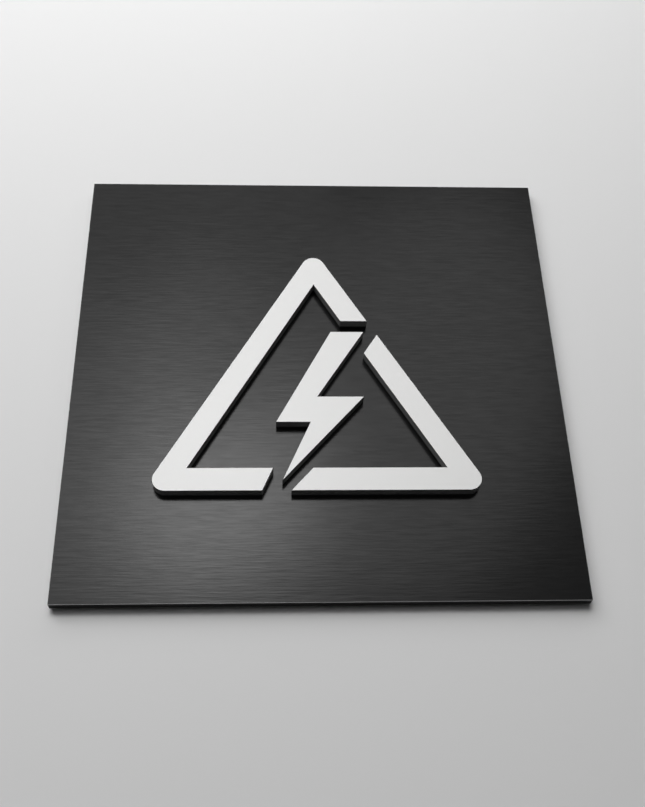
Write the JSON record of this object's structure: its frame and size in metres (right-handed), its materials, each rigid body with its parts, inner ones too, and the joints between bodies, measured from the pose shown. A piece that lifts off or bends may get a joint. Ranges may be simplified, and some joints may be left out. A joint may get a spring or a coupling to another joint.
{
  "type": "electrical hazard sign",
  "caption": "Square black brushed wall sign with a raised white warning triangle that a lightning bolt cuts through, stuck up by tape on its back.",
  "frame": {"origin": "middle of the lowest face, under the middle of the panel, with the sign lying on its back", "axes": "+X to the sign's right, +Y to its top edge, +Z out of its face"},
  "size_m": [0.14, 0.14, 0.0067],
  "materials": {
    "brushed_black_skin": "brushed along X, black lacquered",
    "white_face_skin": "matte white coil coating",
    "black_core": "milled black polyethylene",
    "primed_back_skin": "grey washed primer",
    "bonding_film": "black acrylic adhesive, cut flush",
    "mounting_tape": "black foam, closed cell",
    "release_liner": "siliconised paper"
  },
  "bodies": {
    "root": {"left_tape_liner": "release_liner", "right_tape_liner": "release_liner", "left_tape": "mounting_tape", "right_tape": "mounting_tape", "panel_back_skin": "primed_back_skin", "panel_core": "black_core", "panel_front_skin": "brushed_black_skin", "left_arm_film": "bonding_film", "left_arm_back_skin": "primed_back_skin", "left_arm_core": "black_core", "left_arm_face": "white_face_skin", "bolt_film": "bonding_film", "bolt_back_skin": "primed_back_skin", "bolt_core": "black_core", "bolt_face": "white_face_skin", "right_arm_film": "bonding_film", "right_arm_back_skin": "primed_back_skin", "right_arm_core": "black_core", "right_arm_face": "white_face_skin"}
  },
  "joints": []
}
